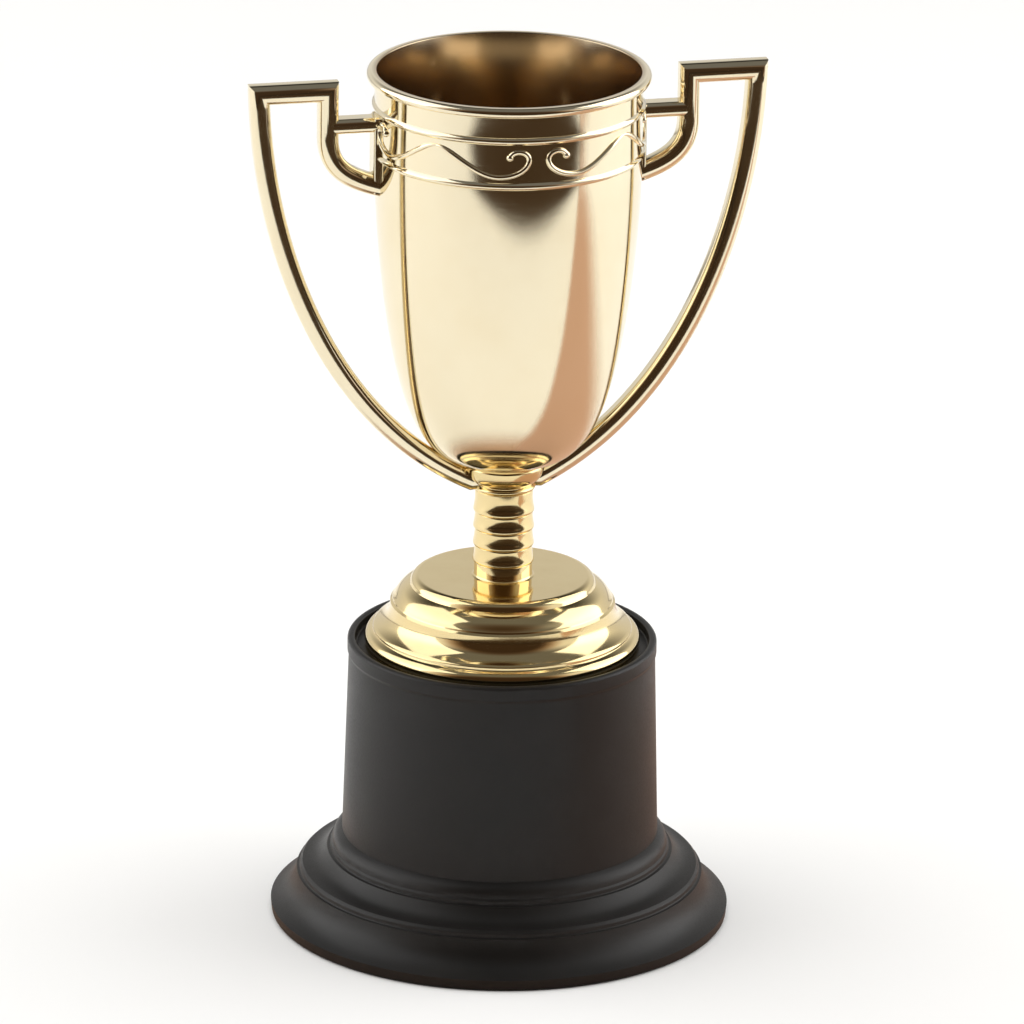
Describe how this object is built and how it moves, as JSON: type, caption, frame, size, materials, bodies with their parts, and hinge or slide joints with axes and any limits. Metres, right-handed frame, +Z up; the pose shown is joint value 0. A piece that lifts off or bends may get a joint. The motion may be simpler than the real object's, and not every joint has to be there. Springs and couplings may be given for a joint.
{
  "type": "cup trophy",
  "caption": "Small cup trophy: straight-sided bowl with rolled rim and square-topped handles, on a ringed stem, stepped foot and round hollow plinth.",
  "frame": {"origin": "centre of the face that the plinth stands on", "axes": "+Z up the central rod to the rim, +X towards the right handle, the handles lie in the XZ plane"},
  "size_m": [0.0592, 0.0522, 0.1],
  "materials": {
    "black_plastic": "satin injection-moulded",
    "gold_plate": "vacuum-metallised pale gold, mirror",
    "warm_gold_plate": "vacuum-metallised yellow gold, mirror",
    "gilt_steel": "brass-plated",
    "zinc_steel": "bright zinc-plated",
    "spring_steel": "dark spring steel"
  },
  "bodies": {
    "root": {"base_plinth": "black_plastic", "foot": "warm_gold_plate", "stem": "warm_gold_plate", "collar": "warm_gold_plate", "bowl": "gold_plate", "handle_left": "gold_plate", "handle_right": "gold_plate", "central_rod": "zinc_steel", "bowl_washer": "gilt_steel", "bowl_cap_nut": "gilt_steel", "base_washer": "zinc_steel", "base_lock_washer": "spring_steel", "base_nut": "zinc_steel"}
  },
  "joints": []
}
